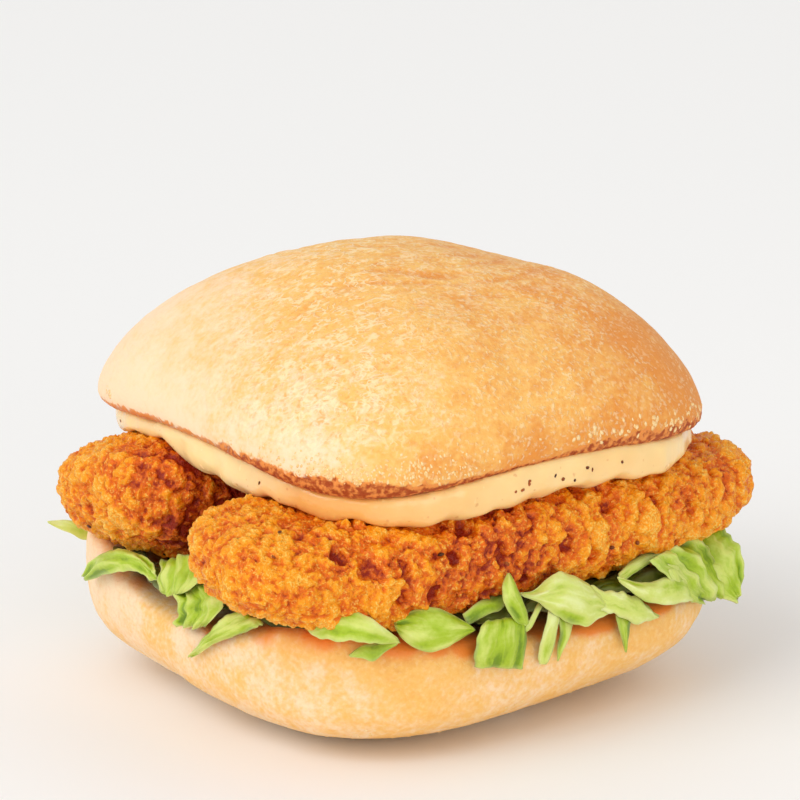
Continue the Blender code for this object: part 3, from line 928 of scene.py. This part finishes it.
sauce, points, facing = dense_copy("sauce", "sauce_layer", square=0.0007, rounds=6)
crown_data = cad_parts["crown"].data
crown_shape = BVHTree.FromPolygons([v.co for v in crown_data.vertices],
                                   [p.vertices for p in crown_data.polygons])
rise = np.zeros(len(points))
for index in np.flatnonzero(facing[:, 2] > 0.0):
    _, bread_facing, _, gap = crown_shape.ray_cast(Vector(points[index]), Vector((0, 0, 1)))
    if gap is not None and bread_facing.z < 0:
        rise[index] = min(gap + OVERLAP, MOST_RISE)
points[:, 2] += rise * smooth(facing[:, 2], 0.05, 0.45)
move_points(sauce, points)
even_squares(sauce, square=0.0007, rounds=8)
points, facing = shape_of(sauce)
out_facing = np.linalg.norm(facing[:, :2], axis=1)
swell = 0.00030 + 0.00040 * lumps(points, 0.0075, 21) * out_facing
swell += 0.00034 * lumps(points * (1, 1, 0.3), 0.0044, 23) * out_facing
points = points + facing * swell[:, None]
lip = smooth(np.linalg.norm(points[:, :2], axis=1), 0.040, 0.047)
points[:, 2] += (0.0010 * lip * lumps(points * (1, 1, 0), 0.0068, 22)
                 * smooth(-facing[:, 2], 0.0, 0.6))
across = points @ RIGHT_CORNER / heel_high.x
# The lip thins out to a point at the right corner
tapered = smooth(across, 0.96, 1.14)
points[:, :2] *= 1 - 0.035 * tapered[:, None]
points[:, 2] += 0.0026 * tapered * (1 - smooth(points[:, 2], 0.0455, 0.0490))
# More peach at the middle of the near sides and at the near-left facet
thinness = (0.32 + 0.28 * np.minimum(np.tanh(1.4 * across), 0.1)
            + 0.25 * np.exp(-(across / 0.35) ** 2))
thinness += 0.75 * spot(points, (-43, -36), (9, 9))
note(sauce, thinness=np.clip(thinness, 0, 1.2))
move_points(sauce, points)
finish(sauce, surface(
    "mayonnaise", make_sauce_group(),
    {"Subsurface Weight": 0.25, "Subsurface Radius": (0.0025, 0.0014, 0.0006),
     "Subsurface Scale": 1.0, "Specular IOR Level": 0.5, "Coat Weight": 0.25,
     "Coat Roughness": 0.12},
    relief=0.00020, kept=("Thinness",),
), "sauce")

# ---------------------------------------------------------------------------
# The crown: the top half of the roll, a soft dome that sags at its corners. Its skin is pale
# on the left, golden with short pale creases over the top and tan on the right. Its cut edge
# is toasted to a rough brown band.
# ---------------------------------------------------------------------------

crown, points, facing = dense_copy("crown", "crown_crust", square=0.00072, rounds=24)
crown_low, crown_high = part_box("crown")
across = points @ RIGHT_CORNER / crown_high.x
up_share = np.clip((points[:, 2] - crown_low.z) / (crown_high.z - crown_low.z), 0, 1)
browning = 0.40 + 0.36 * np.tanh(1.35 * across) + 0.16 * smooth(up_share, 0.35, 1.0)
browning += 0.10 * lumps(points, 0.020, 41)
far_right = spot(points, (46, -30), (13, 20))
warm_patch = spot(points, (30.5, -41.0, 67.0), (12, 10, 10))
# The lower right face is browned further, partly as painted shade on the side away from the key light
low_right = smooth(across, -0.20, 0.15) * (1 - smooth(up_share, 0.10, 0.42))
browning += 0.25 * far_right + 0.30 * warm_patch + 0.38 * low_right
round_top = np.hypot(points[:, 0] - 0.006, points[:, 1] - 0.010)
turn = np.arctan2(points[:, 1] - 0.010, points[:, 0] - 0.006)
rings = np.stack([round_top + 0.0008 * lumps(points, 0.006, 48), 0.010 * turn, 0 * turn], axis=1)
wrinkles = smooth(lumps(rings * (1.0, 0.32, 1.0), 0.0024, 49), -0.05, 0.65)
wrinkles *= smooth(up_share, 0.76, 0.91)
# Along the wrinkle lines the skin is dented and browned darker as painted shade
browning += 0.22 * wrinkles
# How wide the toasted band is, in millimetres, by the direction round the rim in degrees
BAND_AROUND = (-220, -178, -165, -150, -132, -124, -116, -88, -78, -60, -40, -20, 60, 139)
BAND_WIDTH = (0.7, 0.7, 1.6, 2.4, 2.8, 1.7, 0.6, 0.5, 1.6, 2.1, 2.1, 1.2, 1.4, 0.7)
around = np.degrees(np.arctan2(points[:, 1], points[:, 0]))
edge = (facing[:, 2] < -0.15) & (facing[:, 2] > -0.75) & (points[:, 2] < 0.060)
stops = np.arange(-177.5, 180, 5)
edge_height = [np.median(points[edge & (np.abs(around - stop) < 3), 2]) for stop in stops]
above_edge = 1000 * (points[:, 2] - np.interp(around, stops, edge_height, period=360))
band = np.interp(around, BAND_AROUND, BAND_WIDTH, period=360)
rag = 0.45 * lumps(points, 0.0016, 42) + 0.35 * lumps(points, 0.0050, 43)
toasting = 1 - smooth(above_edge + rag * band, band - 0.8, band + 0.6)
toasting *= 1 - 0.35 * smooth(-across, 0.35, 0.75)
topping = smooth(up_share, 0.55, 0.85)
creases = smooth(across, -0.85, -0.25) * smooth(up_share, 0.15, 0.40)
creases *= 1 - (0.90 - 0.45 * topping) * smooth(across, -0.10, 0.30)
grit = smooth(across, -0.25, 0.30) * (0.55 + 0.45 * smooth(lumps(points, 0.009, 50), -0.5, 0.4))
soft = 0.00045 * lumps(points, 0.021, 44) + 0.00016 * lumps(points, 0.0062, 45)
soft += 0.00005 * lumps(points, 0.0022, 46) - 0.00025 * wrinkles
soft -= toasting * (0.00015 + 0.00035 * np.abs(lumps(points, 0.0013, 47)))
note(crown, browning=np.clip(browning, 0, 1), toasting=toasting, creases=creases, grit=grit,
     mottling=0.45 + 0.55 * smooth(across, -0.85, -0.30))
move_points(crown, points + facing * soft[:, None])
finish(crown, surface(
    "crown_crust", CRUST, BREAD, relief=0.00025,
    kept=("Browning", "Toasting", "Creases", "Grit", "Mottling"),
), "crown")

# ---------------------------------------------------------------------------
# Semolina and pepper: coarse semolina baked onto the skin just above the rims, and cracked
# pepper in the sauce and on the fillets.
# ---------------------------------------------------------------------------

# A twenty-sided ball of radius 1
ball = bmesh.new()
bmesh.ops.create_icosphere(ball, subdivisions=1, radius=1.0)
ball.verts.index_update()
BALL_POINTS = np.array([v.co for v in ball.verts])
BALL_FACES = np.array([[v.index for v in face.verts] for face in ball.faces])
ball.free()


def crumb_shell(rng, place, facing, size, flatness, sink, upright=0.0):
    """One irregular grain on a surface. Upright grains are longest up and down."""
    facing = facing / np.linalg.norm(facing)
    side = rng.normal(size=3) * (1 - 0.75 * upright) + (0, 0, upright)
    side -= facing * (side @ facing)
    side /= np.linalg.norm(side)
    other = np.cross(facing, side)
    long = rng.uniform(0.9, 1.5) + 0.3 * upright
    stretch = size / 2 * np.array([long, rng.uniform(0.7, 1.0), flatness])
    bumps = 1 + 0.13 * rng.normal(size=len(BALL_POINTS)).clip(-1.2, 1.2)
    local = BALL_POINTS * bumps[:, None] * stretch
    nudge = 0.0004 * (side * rng.uniform(-1, 1) + other * rng.uniform(-1, 1))
    points = local @ np.array([side, other, facing]) + place + nudge + facing * size * sink
    return {"points": points, "faces": BALL_FACES}


def scatter(rng, piece, weight, count, sizes, **manner):
    """Grains on the piece's surface, most where the weight is greatest."""
    points, facing = shape_of(piece)
    chosen = rng.choice(len(points), size=count, replace=False, p=weight / weight.sum())
    return [crumb_shell(rng, points[k], facing[k], rng.uniform(*sizes), **manner) for k in chosen]


def plain_group(name, one, two, size):
    """Two close colours in patches of that size."""
    given, place = new_group(name, {"One": one, "Two": two})
    fine = grain(place, size, 2.0)
    return closed_group(Color=blend(step(fine, 0.35, 0.65), given["One"], given["Two"]),
                        Height=fine)


rng = np.random.default_rng(29)
grains = []
points, facing = shape_of(crown)
across = points @ RIGHT_CORNER / crown_high.x
skin = 1 - smooth(-facing[:, 2], 0.15, 0.45)
patch = smooth(lumps(points, 0.006, 51), -0.2, 0.5)
near_rim = spot(points, (-44, -46), (16, 14)) * (1 - smooth(facing[:, 2], 0.10, 0.42))
right_rim = smooth(across, 0.45, 0.95) * (1 - smooth(facing[:, 2], 0.05, 0.42))
back_rim = 0.25 * smooth(points[:, 1], 0.01, 0.03) * (1 - smooth(facing[:, 2], 0.05, 0.35))
weight = skin * (0.4 + 0.6 * patch) * near_rim * (1 - toasting) ** 2
grains += scatter(rng, crown, weight, 280, (0.00035, 0.0007),
                  flatness=0.40, sink=-0.09, upright=0.8)
weight = skin * (0.3 + 0.7 * patch) * right_rim * (1 - 0.85 * toasting)
grains += scatter(rng, crown, weight, 200, (0.0006, 0.0012),
                  flatness=0.36, sink=-0.08, upright=0.4)
weight = skin * patch * back_rim
grains += scatter(rng, crown, weight, 80, (0.0005, 0.0010),
                  flatness=0.40, sink=-0.04, upright=0.5)
points, facing = shape_of(heel)
across = points @ RIGHT_CORNER / heel_high.x
patch = smooth(lumps(points, 0.006, 52), -0.1, 0.5)
low_band = smooth(points[:, 2], 0.0006, 0.0020) * (1 - smooth(points[:, 2], 0.0055, 0.0100))
zone = smooth(across, -0.45, -0.10) * (1 - smooth(across, 0.75, 1.0))
weight = low_band * patch * (zone + 0.15)
grains += scatter(rng, heel, weight, 240, (0.0004, 0.0009), flatness=0.40, sink=-0.03)
semolina = joined("semolina_grains", grains, ())
finish(semolina, surface(
    "semolina", plain_group("semolina", colour(250, 220, 166), colour(240, 196, 128), 0.0006),
    {"Specular IOR Level": 0.3, "Roughness": 0.7}, relief=0.00005,
))


def placed_on(rng, piece, places, sizes, **manner):
    """Specks on the piece's surface at the nearest points to those places, in millimetres."""
    points, facing = shape_of(piece)
    tree = KDTree(len(points))
    for index, point in enumerate(points):
        tree.insert(point, index)
    tree.balance()
    found = [tree.find(Vector(place) / 1000)[1] for place in places]
    return [crumb_shell(rng, points[k], facing[k], rng.uniform(*sizes), **manner) for k in found]


# Where cracked pepper shows on the near sides, in millimetres
SAUCE_SPECKS = (
    (14.3, -50.0, 51.3), (7.4, -51.7, 50.9), (5.8, -51.1, 51.5), (-1.1, -50.3, 51.7),
    (-8.4, -51.0, 51.2), (-11.5, -51.6, 50.1), (3.0, -51.7, 50.3), (0.6, -51.7, 50.1),
    (-45.0, 27.8, 52.1), (-47.1, -21.0, 50.7), (-9.6, -51.6, 50.0), (-8.0, -51.2, 50.6),
)
FRONT_SPECKS = (
    (-54.8, -38.6, 46.5), (-58.9, -41.9, 44.2), (-27.2, -50.2, 40.6), (12.6, -52.1, 35.3),
    (19.9, -51.4, 34.6), (-13.8, -51.9, 36.8),
)
REAR_SPECKS = ((-55.8, 23.9, 33.7), (-55.7, 16.9, 34.5))

rng = np.random.default_rng(37)
specks = placed_on(rng, sauce, SAUCE_SPECKS, (0.0005, 0.0009), flatness=0.4, sink=0.0)
specks += placed_on(rng, front, FRONT_SPECKS, (0.0008, 0.0012), flatness=0.4, sink=0.35)
specks += placed_on(rng, rear, REAR_SPECKS, (0.0008, 0.0012), flatness=0.4, sink=0.30)
points, facing = shape_of(sauce)
weight = (np.linalg.norm(facing[:, :2], axis=1) > 0.6) * smooth(points @ (1.0, 1.4, 0), 0.02, 0.04)
specks += scatter(rng, sauce, weight, 16, (0.0005, 0.0010), flatness=0.4, sink=0.02)
points, facing = shape_of(rear)
weight = smooth(facing[:, 1], 0.2, 0.8)
specks += scatter(rng, rear, weight, 10, (0.0006, 0.0010), flatness=0.4, sink=0.05)
pepper = joined("pepper_specks", specks, ())
finish(pepper, surface(
    "pepper", plain_group("pepper", colour(58, 32, 16), colour(172, 88, 36), 0.0040),
    {"Specular IOR Level": 0.3, "Roughness": 0.6}, relief=0.00005,
))

# ---------------------------------------------------------------------------
# The studio: a pale floor, soft light from the upper left and front, and a camera that looks
# at the near corner from slightly above.
# ---------------------------------------------------------------------------

AZIMUTH = math.radians(-37.5)
ELEVATION = math.radians(14.5)
DISTANCE = 0.7
SENSOR_WIDTH, LENS = 36.0, 160.65
STUDIO_WHITE = (1.0, 0.98, 0.96)
LOOK_AT = Vector((0.0012, -0.0010, 0.0550))
back = Vector((math.sin(AZIMUTH) * math.cos(ELEVATION), -math.cos(AZIMUTH) * math.cos(ELEVATION),
               math.sin(ELEVATION)))
right = Vector((math.cos(AZIMUTH), math.sin(AZIMUTH), 0))
upward = back.cross(right)


def aimed(obj, place):
    """Puts a light or camera there, looking at the burger."""
    obj.location = place
    obj.rotation_euler = (place - LOOK_AT).to_track_quat("Z", "Y").to_euler()
    bpy.context.scene.collection.objects.link(obj)


camera_data = bpy.data.cameras.new("camera")
camera_data.sensor_width = SENSOR_WIDTH
camera_data.lens = LENS
camera = bpy.data.objects.new("camera", camera_data)
aimed(camera, LOOK_AT + back * DISTANCE)
bpy.context.scene.camera = camera


def soft_light(name, place, width, watts):
    """A square panel of light."""
    data = bpy.data.lights.new(name, "AREA")
    data.shape = "SQUARE"
    data.size = width
    data.energy = watts
    data.color = STUDIO_WHITE
    aimed(bpy.data.objects.new(name, data), LOOK_AT + place)


soft_light("key", back * 0.62 - right * 0.80 + upward * 0.55, width=0.50, watts=1.22)
soft_light("fill", back * 0.90 + right * 0.35 - upward * 0.12, width=0.6, watts=2.55)

sun = bpy.data.lights.new("daylight", "SUN")
sun.energy = 0.85
sun.angle = math.radians(50)
aimed(bpy.data.objects.new("daylight", sun),
      LOOK_AT + back * 0.62 - right * 0.60 + upward * 0.50)

world = bpy.data.worlds.new("studio")
world.use_nodes = True
background = world.node_tree.nodes["Background"]
background.inputs["Color"].default_value = (1.0, 0.99, 0.97, 1.0)
background.inputs["Strength"].default_value = 0.76
bpy.context.scene.world = world
bpy.context.scene.view_settings.view_transform = "Standard"

floor_mesh = bpy.data.meshes.new("floor")
floor_mesh.from_pydata([(-3, -3, 0), (3, -3, 0), (3, 3, 0), (-3, 3, 0)], [], [(0, 1, 2, 3)])
floor = new_piece("floor", floor_mesh)
floor_paint = bpy.data.materials.new("floor")
floor_paint.use_nodes = True
floor_shader = floor_paint.node_tree.nodes["Principled BSDF"]
floor_shader.inputs["Base Color"].default_value = (0.93, 0.93, 0.93, 1.0)
floor_shader.inputs["Roughness"].default_value = 0.7
floor_mesh.materials.append(floor_paint)
